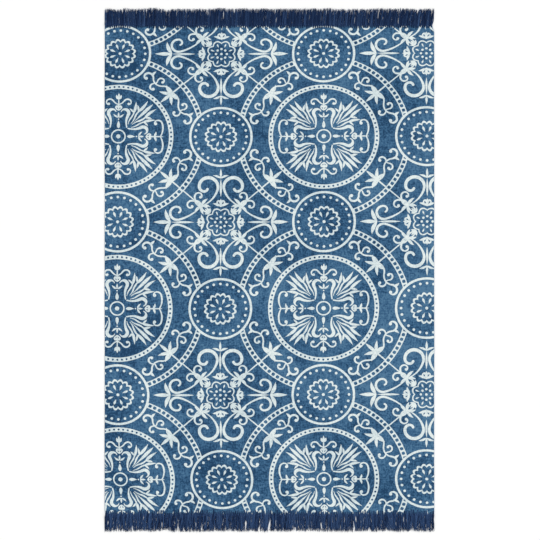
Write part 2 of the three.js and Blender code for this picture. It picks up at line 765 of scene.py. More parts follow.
def curled_foot(along: float, reach: float) -> Scroll:
    """Returns one of the two curls that a stem or a bud stands on; reach is its first bend's radius."""
    bends = (Bend(-36, reach, reach), Bend(-170, reach / 3, reach / 5))
    return Scroll(along, 0, 68, bends, Weight(4.4, 5.4, 4), 4.4)


@dataclass(frozen=True)
class Rosette:
    """A ring with a circle of dots, a scalloped ring and eight petals."""

    radius: float = 112.0
    line: float = 8.4
    dot_circle: float = 94.0
    dots: int = 24
    dot: float = 5.0
    scallops: int = 16
    scallop_valley: float = 48.0
    scallop_rise: float = 8.5
    scallop_line: float = 8.0
    petals: int = 8
    petal: Leaf = Leaf(17, 0, 0, 24, 8.4, 0, 0.62)
    centre: float = 5.6

    def draw(self, pen: Pen) -> None:
        """Draws the rosette over a bare disc, which stops the outer bands.

        Args:
            pen: A pen at the rosette's centre.
        """
        pen.dot(self.radius, ink=False)
        pen.band(self.radius, self.line)
        for number in range(self.dots):
            pen.at(polar(self.dot_circle, TURN * number / self.dots)).dot(self.dot)
        pen.scallops(self.scallop_valley, self.scallop_rise, self.scallops, self.scallop_line)
        for number in range(self.petals):
            pen.at(0, TURN * (number + 0.5) / self.petals).parts((self.petal,))
        pen.dot(self.centre)


@dataclass(frozen=True)
class Medallion:
    """The great medallion: a four-lobed frame in a beaded band, stems on its axes and sheaves between."""

    band: float = 194.0
    band_width: float = 16.4
    beads: int = 72
    bead: float = 3.9
    hub: float = 8.0
    hub_ring: float = 25.0
    hub_line: float = 5.0
    pinch: float = 47.0            # where two lobes of the frame draw together
    lobe_spread: float = 41.0      # the angle from a lobe's axis to that place
    foot: float = 102.0            # where the stems on the axes begin

    def draw(self, pen: Pen) -> None:
        """Draws the medallion; its branching stems stand along the rug and its hugging ones across it.

        Args:
            pen: A pen at its centre, heading across the rug.
        """
        pen.band(self.band, self.band_width)
        for number in range(self.beads):
            pen.at(polar(self.band, TURN * number / self.beads)).dot(self.bead, ink=False)
        pen.dot(self.hub)
        pen.band(self.hub_ring, self.hub_line)
        for quarter in range(4):
            axis = pen.at(0, RIGHT_ANGLE * quarter)
            axis.motif(self.lobe())
            axis.motif(self.branching_stem() if quarter % 2 else self.hugging_stem())
            axis.at(0, RIGHT_ANGLE / 2).motif(self.sheaf())

    def lobe(self) -> Motif:
        """Sets out one lobe of the frame.

        Returns:
            A ribbon on each side, open at its outer end, with a drop, a dot and a bud between them.
        """
        pinch = polar(self.pinch, self.lobe_spread)
        bends = (Bend(0, 6, 6), Bend(40, 62, 62), Bend(-190, 16, 13))
        ribbon = Scroll(pinch.real, pinch.imag, -12, bends, Weight(4.6, 12.4, 3.2, 0.68))
        drop = Leaf(32, 0, 0, 30, 12, 0, 0.36)
        bud = Fan(74, 0, 0, 3, 150, 20, 7, 1.2, -40)
        return Motif(axis=(drop, Dot(67, 0, 2.8), bud), sides=(ribbon,))

    def sheaf(self) -> Motif:
        """Sets out the sheaf between two lobes.

        Returns:
            A long leaf, and on each side of it two slender stems that fork into leaves.
        """
        inner = Scroll(self.pinch + 22, 3, 2, (Bend(26, 58, 58), Bend(-30, 58, 58)), Weight(2.2, 6.4, 5),
                       then=(Leaf(-6, 0, -4, 58, 11, 24, 0.4), Leaf(-4, 0, 40, 28, 8, 30)))
        outer = Scroll(self.pinch + 12, 9, 34, (Bend(-26, 60, 60), Bend(24, 60, 60)), Weight(2.2, 5.6, 5),
                       then=(Leaf(-6, 0, -8, 48, 10, 22, 0.4), Leaf(-4, 0, 40, 24, 7, 30)))
        return Motif(axis=(Leaf(self.pinch + 24, 0, 0, 108, 12, 0, 0.66),), sides=(inner, outer))

    def branching_stem(self) -> Motif:
        """Sets out a branching stem.

        Returns:
            A stem on two curls, with a tulip between two arms that wind inwards.
        """
        shaft = Scroll(self.foot, 0, 0, (Bend(0, 40, 40),), Weight(4.4, 4.4, 4.4))
        tulip = Fan(self.foot + 42, 0, 0, 3, 96, 25, 9, 0.84, -44)
        bends = (Bend(-40, 36, 36), Bend(235, 17, 8))
        arm = Scroll(self.foot + 22, 0, 74, bends, Weight(4.4, 6, 4.4, 0.5), 5)
        return Motif(axis=(shaft, tulip), sides=(curled_foot(self.foot, 20), arm))

    def hugging_stem(self) -> Motif:
        """Sets out a hugging stem.

        Returns:
            A stem on two curls, with an arrowhead, between two scrolls that run along the band.
        """
        shaft = Scroll(self.foot, 0, 0, (Bend(0, 62, 62),), Weight(4.4, 5.4, 2))
        barbs = Fan(self.foot + 28, 0, 0, 2, 84, 22, 8, 1, 50)
        bends = (Bend(50, 62, 62), Bend(176, 18, 10))
        hugging = Scroll(self.foot + 52, 0, 58, bends, Weight(4.4, 6.4, 4.8, 0.4), 6)
        return Motif(axis=(shaft, barbs), sides=(curled_foot(self.foot, 20), hugging))


@dataclass(frozen=True)
class Spray:
    """A fan of leaves between two running scrolls, in the space round the great medallion."""

    diagonal: float                # the way to the star knot, in degrees
    radius: float = 256.0          # its place on the way there
    tie: float = 148.0             # how far its stalk reaches on
    grow_across: float = 0.9       # the sizes of its two running scrolls
    grow_along: float = 0.84

    def draw(self, pen: Pen) -> None:
        """Draws the spray; its stalk crosses the outer band to the star knot's ribbons.

        Args:
            pen: A pen at the great medallion's centre, heading across the rug.
        """
        base = pen.at(polar(self.radius, self.diagonal), self.diagonal + TURN / 2)
        stalk = Scroll(-self.tie, 0, 0, (Bend(0, self.tie, self.tie),), Weight(4.6, 4.6, 6))
        base.parts((stalk, Dot(0, 0, 6.5), Fan(0, 0, 0, 5, 168, 54, 12, 0.72, 40)))
        for side, grow in zip(base.sides(), (self.grow_across, self.grow_along)):
            side.parts((self.run(grow),))

    @staticmethod
    def run(grow: float) -> Scroll:
        """Returns a running scroll.

        Args:
            grow: Its size, as a share of its plain size.

        Returns:
            The scroll, with the larger one that it runs on into, two curls from their joint and a leaf.
        """
        bends = (Bend(46, 36 * grow, 30 * grow), Bend(-244, 27 * grow, 12 * grow))
        onward = Scroll(0, 0, 0, bends, Weight(5.4, 8, 5, 0.7), 6)
        inner = Scroll(0, 0, -34, (Bend(-206, 18, 9),), Weight(4.4, 7, 4.8, 0.6), 5.4)
        outer = Scroll(-2, 0, 84, (Bend(-24, 34, 34), Bend(226, 15, 8)), Weight(4.2, 6.4, 4.6, 0.6), 5)
        bends = (Bend(-84, 36 * grow, 42 * grow), Bend(50, 48 * grow, 36 * grow))
        grown = (onward, inner, outer, Leaf(30, 10, 62, 26, 9, 40))
        return Scroll(-4, 0, 122, bends, Weight(5.4, 5.8, 5.4), then=grown)


@dataclass(frozen=True)
class StarKnot:
    """A star of dots in a scalloped ring, with volutes beside its axes and ribbons on its diagonals."""

    across: float                  # the way to the great medallion's centre, across the rug
    along: float                   # and along it
    hub: float = 4.8
    petals: int = 8                # the number of dots, seeds and scallops in the star
    dot: Dot = Dot(20, 0, 4.6)
    seed: Leaf = Leaf(27, 0, 0, 17, 6, 0, 0.6)
    web_valley: float = 43.0
    web_rise: float = 10.0
    web_line: float = 5.4
    bud_root: float = 60.0
    bud: float = 29.0
    ribbon_root: float = 56.0
    ribbon_wave: float = 27.0      # the radius of the ribbons' first wave
    ribbon_ease: float = 0.8       # and their second one's, as a share of it
    ribbon_slope: float = 44.0     # the angle at which the ribbons cross their axis, in degrees
    axis_gap: float = 4.5          # between an axis and the circles of the volutes beside it
    volute_fill: float = 0.8       # a volute's circle, of the largest one that fits there
    fleur_seat: float = 0.75       # how far past the circles' middle a fleur stands, in their radii
    fleur_reach: float = 0.78      # its length, of the way from there to the rosette
    fleur_width: float = 0.22      # its leaves' width, of that length
    volute_join: float = -16.0     # the way a volute's stem points where its head begins, in degrees
    needle: float = 1.25           # where the needle past a bud begins, in the bud's lengths

    def draw(self, pen: Pen) -> None:
        """Draws the knot; its long axis lies across the rug.

        Args:
            pen: A pen at its centre, heading across the rug.
        """
        pen.scallops(self.web_valley, self.web_rise, self.petals, self.web_line)
        pen.dot(self.hub)
        for number in range(self.petals):
            pen.at(0, TURN * number / self.petals).parts((self.dot,))
            pen.at(0, TURN * (number + 0.5) / self.petals).parts((self.seed,))
        for quarter in range(4):
            ways = (self.along, self.across) if quarter % 2 else (self.across, self.along)
            pen.at(0, RIGHT_ANGLE * quarter).motif(self.arm(*ways))
        for diagonal in pen.diagonals(math.degrees(math.atan2(self.along, self.across))):
            diagonal.motif(self.ribbons())

    @property
    def crossing(self) -> float:
        """How far from the centre the two ribbons of a diagonal cross for the first time."""
        return self.ribbon_root + 2 * self.ribbon_wave * math.sin(math.radians(self.ribbon_slope))

    def arm(self, ahead: float, aside: float) -> Motif:
        """Sets out the parts on and beside an axis that leads to a rosette.

        The volutes' circles lie halfway from the web to the rosette. The largest that fits there touches the
        axis and the outer band.

        Args:
            ahead: The way to the great medallion's centre along the axis, and so to the rosette's.
            aside: The way to it across the axis.

        Returns:
            A bud on two curls, a needle and a fleur ahead of it, and two volutes.
        """
        rosette = ahead - Rosette.radius
        middle = (self.web_valley + self.web_rise + rosette) / 2
        band = OuterBand.radius + OuterBand.width / 2
        off = aside - self.axis_gap
        largest = ((ahead - middle) ** 2 + off ** 2 - band ** 2) / (2 * (off + band))
        head = self.volute_fill * largest
        root = polar(self.crossing, math.degrees(math.atan2(aside, ahead)))
        seat = middle + self.fleur_seat * head
        reach = self.fleur_reach * (rosette - seat)
        tip = self.bud_root + self.needle * self.bud
        bud = Fan(self.bud_root, 0, 0, 3, 110, self.bud, 10, 1.1, 30)
        fleur = Fan(seat, 0, 0, 3, 96, reach, self.fleur_width * reach, 0.84, 40)
        wound = volute(root, complex(middle, self.axis_gap + head), head, self.volute_join)
        return Motif(axis=(bud, Leaf(tip, 0, 0, seat - tip, 8), fleur),
                     sides=(curled_foot(self.bud_root, 26), wound))

    def ribbons(self) -> Motif:
        """Sets out the ribbons on a diagonal.

        Returns:
            Two ribbons that cross in waves and curl outwards, with a fleur at their root and leaves where
            they cross.
        """
        first, second, swing = self.ribbon_wave, self.ribbon_ease * self.ribbon_wave, 2 * self.ribbon_slope
        bends = (Bend(-swing, first, first), Bend(swing, second, second), Bend(-10, 60, 60), Bend(244, 18, 9))
        ribbon = Scroll(self.ribbon_root, 0, self.ribbon_slope, bends, Weight(5, 6.8, 5), 5.4)
        fleur = Fan(self.ribbon_root - 4, 0, 0, 3, 80, 26, 9, 0.8, 20)
        leaves = (Leaf(self.crossing, 0, 66, 38, 11, 46), Leaf(self.crossing, 0, 122, 34, 10, 46))
        return Motif(axis=(fleur, Dot(self.crossing, 0, 5.4)), sides=(ribbon, *leaves))


@dataclass(frozen=True)
class OuterBand:
    """The wide band round each great medallion, with a chain of dark squares in it."""

    radius: float = 308.0
    width: float = 20.0
    squares: int = 104
    square: float = 12.0
    corner: float = 2.4            # how much of a square's corners is cut off
    overrun: float = 1.0           # how far the band's ends reach past the tile, in degrees

    def draw(self, pen: Pen) -> None:
        """Draws the band's quarter in the tile.

        Args:
            pen: A pen at the great medallion's centre.
        """
        pen.band(self.radius, self.width, -self.overrun, RIGHT_ANGLE + 2 * self.overrun)
        half = self.square / 2
        cut = half - self.corner
        corners = [half - 1j * cut, half + 1j * cut]
        square = np.array([corner * 1j ** quarter for quarter in range(4) for corner in corners])
        for number in range(self.squares // 4):
            angle = TURN * (number + 0.5) / self.squares
            pen.at(polar(self.radius, angle), angle).add(square, ink=False)


@dataclass(frozen=True)
class QuarterTile:
    """A quarter of the print's repeat, which is mirrored about all four of its edges.

    The great medallion's centre is at its first corner, the rosettes' are at the next ones across and along,
    and the star knot's is at the far corner.
    """

    width: float = 376.0
    length: float = 327.0
    fill_spacing: float = 26.0     # of the points that keep the triangles from growing long
    weld: float = 1e-4

    def outlines(self) -> list[Outline]:
        """Draws the motifs.

        Returns:
            Those of their outlines that reach into the tile, in painter's order.
        """
        pen = Pen([])
        diagonal = math.degrees(math.atan2(self.length, self.width))
        Spray(diagonal).draw(pen)
        OuterBand().draw(pen)
        Medallion().draw(pen)
        StarKnot(self.width, self.length).draw(pen.at(complex(self.width, self.length), TURN / 2))
        Rosette().draw(pen.at(self.width + 0j))
        Rosette().draw(pen.at(1j * self.length))
        return [o for o in pen.outlines if o.line.real.max() > 0 and o.line.real.min() < self.width
                and o.line.imag.max() > 0 and o.line.imag.min() < self.length]

    def mesh(self) -> tuple[np.ndarray, np.ndarray, np.ndarray]:
        """Cuts the tile into triangles along every outline.

        No bmesh operator cuts a plane along hundreds of curved outlines, so a constrained triangulation does.

        Returns:
            The points as complex numbers, the triangles, and for each triangle whether it is inked.
        """
        outlines = self.outlines()
        corners = np.array([0, self.width, self.width + 1j * self.length, 1j * self.length])
        loops = [corners, *[o.line for o in outlines]]
        points, edges = [], []
        for loop in loops:
            first, count = len(points), len(loop)
            points += [Vector((z.real, z.imag)) for z in loop]
            edges += [(first + i, first + (i + 1) % count) for i in range(count)]
        across = np.linspace(0, self.width, round(self.width / self.fill_spacing) + 1)
        along = np.linspace(0, self.length, round(self.length / self.fill_spacing) + 1)
        points += [Vector((x, y)) for x in across for y in along]
        cut = delaunay_2d_cdt(points, edges, [], 0, self.weld)
        place = np.array([complex(p.x, p.y) for p in cut[0]])
        triangles = np.array(cut[2])
        middle = place[triangles].mean(axis=1)
        inside = (middle.real > 0) & (middle.real < self.width)
        inside &= (middle.imag > 0) & (middle.imag < self.length)
        triangles, middle = triangles[inside], middle[inside]
        return place, triangles, self._inked(middle, outlines)

    @staticmethod
    def _inked(middle: np.ndarray, outlines: list[Outline]) -> np.ndarray:
        """Paints the outlines over each other.

        Args:
            middle: The places to look at.
            outlines: The outlines in painter's order.

        Returns:
            For each place, whether the last outline round it adds pigment.
        """
        inked = np.zeros(len(middle), bool)
        for line, ink in outlines:
            near = np.flatnonzero((middle.real > line.real.min()) & (middle.real < line.real.max())
                                  & (middle.imag > line.imag.min()) & (middle.imag < line.imag.max()))
            if not len(near):
                continue
            spot, end = middle[near, None], np.roll(line, -1)
            left = ((end - line) * (spot - line).conj()).imag < 0
            up = (line.imag <= spot.imag) & (end.imag > spot.imag) & left
            down = (line.imag > spot.imag) & (end.imag <= spot.imag) & ~left
            winding = up.sum(axis=1) - down.sum(axis=1)
            inked[near[winding != 0]] = ink
        return inked


# ---------------------------------------------------------------- the cloth


@dataclass(frozen=True)
class Pull:
    """A corner where a selvedge is drawn in: its side and end as signs, how deep, and over what length."""

    side: int
    end: int
    depth: float
    start: float


@dataclass(frozen=True)
class Selvedges:
    """How far the cloth is drawn in along its two woven edges."""

    half_length: float
    wander: float = 0.9 * MM
    long_wave: float = 97 * MM
    short_wave: float = 41 * MM
    phase: float = 0.9
    pulls: tuple[Pull, ...] = (Pull(1, 1, 7 * MM, 26 * MM), Pull(-1, -1, 1.5 * MM, 30 * MM))

    def drawn_in(self, side: int, y: np.ndarray) -> np.ndarray:
        """Measures how far a selvedge lies inside the cloth's full width.

        Args:
            side: 1 for the right-hand selvedge and -1 for the left.
            y: Places along the rug.

        Returns:
            The distance at each place.
        """
        phase = side * self.phase
        inset = self.wander * uneven_wave(y, self.long_wave, self.short_wave, phase, -phase)
        for pull in self.pulls:
            if pull.side == side:
                along = pull.start - (self.half_length - y * pull.end)
                inset = inset + pull.depth * smoothstep(along / pull.start)
        return inset


@dataclass
class PrintedCloth:
    """The cloth: a flat sheet, its upper face cut along the print, with soft edges and a plain underside."""

    INK = "ink"
    BAKE_UV = "OFBake"
    COLUMNS = range(-3, 2)         # the quarter tiles that reach over the cloth
    ROWS = range(-3, 4)

    width: float
    length: float
    thickness: float
    selvedges: Selvedges
    finish: PrintedCotton = PrintedCotton()
    tile: QuarterTile = QuarterTile()
    centre_x: float = 9 * MM       # the middle of the print's lattice
    centre_y: float = 18 * MM
    squash: float = 0.965          # the cloth was pulled shorter than the print's screens
    close_up: float = 0.023        # how much the repeat closes up towards the ends
    drift: float = 6.5 * MM        # and how much more it does so at the head
    lean_in: float = 17 * MM       # how far its left side leans in towards each end
    sway: float = 1.6 * MM         # the print's lines waver as the weave does
    sway_wave: float = 210 * MM
    sway_start: tuple[float, float] = (0.7, -0.4)
    margin: float = 0.2            # the share of each half that a drawn-in selvedge pulls along
    ripple: float = 0.22 * MM      # the upper face isn't quite flat
    ripple_wave: float = 130 * MM
    ripple_bend: float = 1.3       # how far the ripples bend to the sides
    ripple_beat: float = 0.8       # how often they fade along the rug, beside their bends
    ripple_start: float = 0.5
    edge_round: float = 0.8 * MM
    edge_steps: int = 3
    lower_rise: float = 0.5        # how far the lower edge curls up, as a share of the upper one's radius
    crease: float = 40.0           # edges sharper than this, in degrees, stay sharp
    straight: float = 0.7          # the cosine from which two edges of the outline count as one line
    upward: float = 0.5            # and of a normal's tilt, from which a face belongs to the upper one
    weld: float = 0.01 * MM
    bake_margin: float = 0.02

    def build(self) -> bpy.types.Object:
        """Builds and dresses the cloth.

        Returns:
            The finished piece.
        """
        mesh = self._printed_plane()
        shape = bmesh.new()
        shape.from_mesh(mesh)
        bmesh.ops.delete(shape, geom=[v for v in shape.verts if not v.link_faces], context="VERTS")
        bmesh.ops.remove_doubles(shape, verts=shape.verts, dist=self.weld)
        self._cut_to_size(shape)
        self._shape_face(shape)
        self._close_body(shape)
        self._unwrap(shape)
        shape.to_mesh(mesh)
        shape.free()
        mesh.shade_smooth()
        mesh.set_sharp_from_angle(angle=math.radians(self.crease))
        mesh.materials.append(self.finish.build())
        return new_object("woven_cloth", mesh)

    def _printed_plane(self) -> bpy.types.Mesh:
        """Repeats the tile over the cloth and a little past it.

        Returns:
            A flat mesh with the print's face attribute.
        """
        tile = self.tile
        place, triangles, inked = tile.mesh()
        points, faces, ink = [], [], []
        for column, row in itertools.product(self.COLUMNS, self.ROWS):
            x = tile.width - place.real if column % 2 else place.real
            y = tile.length - place.imag if row % 2 else place.imag
            laid = self._laid(x + (column + 0.5) * tile.width, y + (row - 0.5) * tile.length)
            nearest = np.abs(laid[triangles]).min(axis=1) * MM
            shown = (nearest[:, 0] < self.width / 2) & (nearest[:, 1] < self.length / 2)
            turned = triangles[:, ::-1] if (column + row) % 2 else triangles
            faces.append(turned[shown] + sum(len(p) for p in points))
            points.append(laid)
            ink.append(inked[shown])
        flat = np.concatenate(points)
        mesh = bpy.data.meshes.new("woven_cloth")
        corners = np.column_stack([flat, np.zeros(len(flat))]) * MM
        mesh.from_pydata(corners, [], np.concatenate(faces).tolist())
        mesh.attributes.new(self.INK, "FLOAT", "FACE").data.foreach_set(
            "value", np.concatenate(ink).astype(np.float32))
        return mesh

    def _laid(self, x: np.ndarray, y: np.ndarray) -> np.ndarray:
        """Lays places of the print on the cloth, with the print's stretch and sway.

        Args:
            x: Places across, in the print's units, from the middle of its lattice.
            y: Places along.

        Returns:
            The places on the cloth in millimetres, one row each.
        """
        wave, sway = self.sway_wave / MM, self.sway / MM
        y = y * self.squash
        end = (y / (self.length / 2 / MM)) ** 2
        leftness = 0.5 - x / (self.width / MM)
        on_x = x + self.lean_in / MM * end * leftness ** 2 + sway * np.sin(y / wave + self.sway_start[0])
        on_y = y - (y * self.close_up + self.drift / MM) * end + sway * np.sin(x / wave + self.sway_start[1])
        return np.column_stack([on_x + self.centre_x / MM, on_y + self.centre_y / MM])

    def _cut_to_size(self, shape: bmesh.types.BMesh) -> None:
        """Cuts the printed plane to the cloth's rectangle, less its rounded edge.

        Args:
            shape: The printed plane.
        """
        for axis, half in ((Vector((1, 0, 0)), self.width / 2), (Vector((0, 1, 0)), self.length / 2)):
            for sign in (1, -1):
                bmesh.ops.bisect_plane(
                    shape, geom=[*shape.verts, *shape.edges, *shape.faces], dist=self.weld / 10,
                    plane_co=axis * sign * (half - self.edge_round), plane_no=axis * sign, clear_outer=True)

    def _shape_face(self, shape: bmesh.types.BMesh) -> None:
        """Draws the selvedges in and raises the upper face, slightly rippled, to the cloth's thickness.

        Args:
            shape: The printed plane, cut to size.
        """
        place = np.array([v.co for v in shape.verts])
        x, y = place[:, 0], place[:, 1]
        half = self.width / 2
        for side in (1, -1):
            near = eased(x * side, half * (1 - self.margin), half)
            x = x - side * near * self.selvedges.drawn_in(side, y)
        turn = y / self.ripple_wave
        waves = np.sin(x / self.ripple_wave + self.ripple_bend * np.sin(turn))
        rise = self.ripple * waves * np.sin(turn * self.ripple_beat + self.ripple_start)
        for vertex, east, height in zip(shape.verts, x, self.thickness + rise - self.ripple):
            vertex.co = (east, vertex.co.y, height)

    def _close_body(self, shape: bmesh.types.BMesh) -> None:
        """Rolls the edges over, carries them down to the underside and closes it.

        Args:
            shape: The cloth's upper face.
        """
        ink = shape.faces.layers.float[self.INK]
        edges = [e for e in shape.edges if e.is_boundary]
        outline = {v: (v.co.copy(), self._outward(v)) for v in {v for e in edges for v in e.verts}}
        for out, rise, hangs in self._edge_rings():
            made = bmesh.ops.extrude_edge_only(shape, edges=edges)["geom"]
            edges = [e for e in made if isinstance(e, bmesh.types.BMEdge) and e.is_boundary]
            lower = {}
            for vertex in {v for e in edges for v in e.verts}:
                near = [e.other_vert(vertex) for e in vertex.link_edges]
                face_edge, outward = lower[vertex] = next(outline[v] for v in near if v in outline)
                spot = face_edge + outward * out
                vertex.co = (spot.x, spot.y, face_edge.z + rise if hangs else rise)
            outline = lower
            for face in (f for f in made if isinstance(f, bmesh.types.BMFace)):
                face[ink] = 0.0
        under = bmesh.ops.contextual_create(shape, geom=edges)["faces"]
        for face in under:
            face[ink] = 0.0
        bmesh.ops.triangulate(shape, faces=under, quad_method="BEAUTY", ngon_method="BEAUTY")
        bmesh.ops.recalc_face_normals(shape, faces=shape.faces)

    def _edge_rings(self) -> list[tuple[float, float, bool]]:
        """Sets out the rings of the cloth's rounded edge, from its upper face round to its underside.

        Returns:
            For each, how far out it lies, its height, and whether that is measured from the upper face.
        """
        angles = np.linspace(0, math.pi / 2, self.edge_steps + 1)[1:]
        rings = [(self.edge_round * math.sin(a), self.edge_round * (math.cos(a) - 1), True) for a in angles]
        for step, angle in enumerate(angles[:0:-1], 1):
            rise = self.lower_rise * (1 - step / self.edge_steps) ** 2
            rings.append((self.edge_round * math.sin(angle), self.edge_round * rise, False))
        return rings

    def _outward(self, vertex: bmesh.types.BMVert) -> Vector:
        """Says which way the cloth's outline faces at a vertex of it; a corner faces both ways.

        Args:
            vertex: A vertex of the upper face's outline.

        Returns:
            The way, as steps of one across and along.
        """
        ways = [(e.other_vert(vertex).co - vertex.co).to_2d() for e in vertex.link_edges if e.is_boundary]
        straight = abs(ways[0].normalized().dot(ways[1].normalized())) > self.straight
        at_end = abs(abs(vertex.co.y) - (self.length / 2 - self.edge_round)) < self.weld
        side = 0.0 if at_end and straight else math.copysign(1, vertex.co.x)
        return Vector((side, math.copysign(1, vertex.co.y) if at_end else 0.0, 0))

    def _unwrap(self, shape: bmesh.types.BMesh) -> None:
        """Gives the upper face nearly the whole of a UV square, and the rest a corner beside it.

        Args:
            shape: The closed cloth.
        """
        layer = shape.loops.layers.uv.new(self.BAKE_UV)
        upper, rest = (self.bake_margin, 1 - 2 * self.bake_margin), (0.0, self.bake_margin / 2)
        for face in shape.faces:
            start, size = upper if face.normal.z > self.upward else rest
            for loop in face.loops:
                across = loop.vert.co.x / self.width + 0.5
                along = loop.vert.co.y / self.length + 0.5
                loop[layer].uv = (start + across * size, start + along * size)


# ---------------------------------------------------------------- the fringes


class End(Enum):
    """The rug's two cut ends, with the sign of their place along Y."""

    HEAD = 1
    FOOT = -1


class Notch(NamedTuple):
    """A place where the yarns of a fringe part.

    It has its place across the rug, how far it pushes the yarns to each side, over what reach it does so, and
    how much shorter they are there.
    """

    place: float
    opening: float
    reach: float
    dip: float


@dataclass(frozen=True)
class YarnStrand:
    """One strand, a round tube that is arrayed and laid along many paths."""

    sides: int = 5
    stations: int = 8

    def build(self) -> bpy.types.Mesh:
        """Extrudes a circle into a straight tube along +Y and closes its far end.

        Returns:
            A mesh one unit in radius and one in length, with its UV map.
        """
        shape = bmesh.new()
        layer = shape.loops.layers.uv.new(YarnFringe.UV)
        bmesh.ops.create_circle(shape, segments=self.sides, radius=1, cap_ends=False)
        upright = Matrix.Rotation(math.pi / 2, 3, "X")
        bmesh.ops.rotate(shape, verts=shape.verts, cent=(0, 0, 0), matrix=upright)
        edges = list(shape.edges)
        for _ in range(self.stations - 1):
            made = bmesh.ops.extrude_edge_only(shape, edges=edges)["geom"]
            ring = [v for v in made if isinstance(v, bmesh.types.BMVert)]
            edges = [e for e in made if isinstance(e, bmesh.types.BMEdge) and e.is_boundary]
            bmesh.ops.translate(shape, verts=ring, vec=(0, 1 / (self.stations - 1), 0))
        bmesh.ops.holes_fill(shape, edges=[e for e in shape.edges if e.is_boundary], sides=self.sides)
        bmesh.ops.recalc_face_normals(shape, faces=shape.faces)
        for face in shape.faces:
            angles = [math.atan2(l.vert.co.z, l.vert.co.x) / (2 * math.pi) % 1 for l in face.loops]
            wraps = max(angles) - min(angles) > 0.5
            for loop, angle in zip(face.loops, angles):
                loop[layer].uv = (angle + 1 if wraps and angle < 0.5 else angle, loop.vert.co.y)
        mesh = bpy.data.meshes.new("strand")
        shape.to_mesh(mesh)
        shape.free()
        return mesh


@dataclass(frozen=True)
class Knot:
    """The loop of yarn that lies across each tassel, just outside the cut end."""

    out: float = 2.2 * MM          # its place outside the cut end
    stray: float = 0.5 * MM        # how far that and its slant stray
    rise: float = 1.5 * MM         # how far its arch stands above the cloth
    foot: float = 0.4              # the height of its ends, of the cloth's thickness
    half_width: float = 0.46       # in the tassels' pitch, as the length is
    length: float = 1.4            # the yarn in it, for its twist
    radius: float = 1.1            # in a strand's, as the lift is
    lift: float = 0.6              # how far its middle line lies above its underside


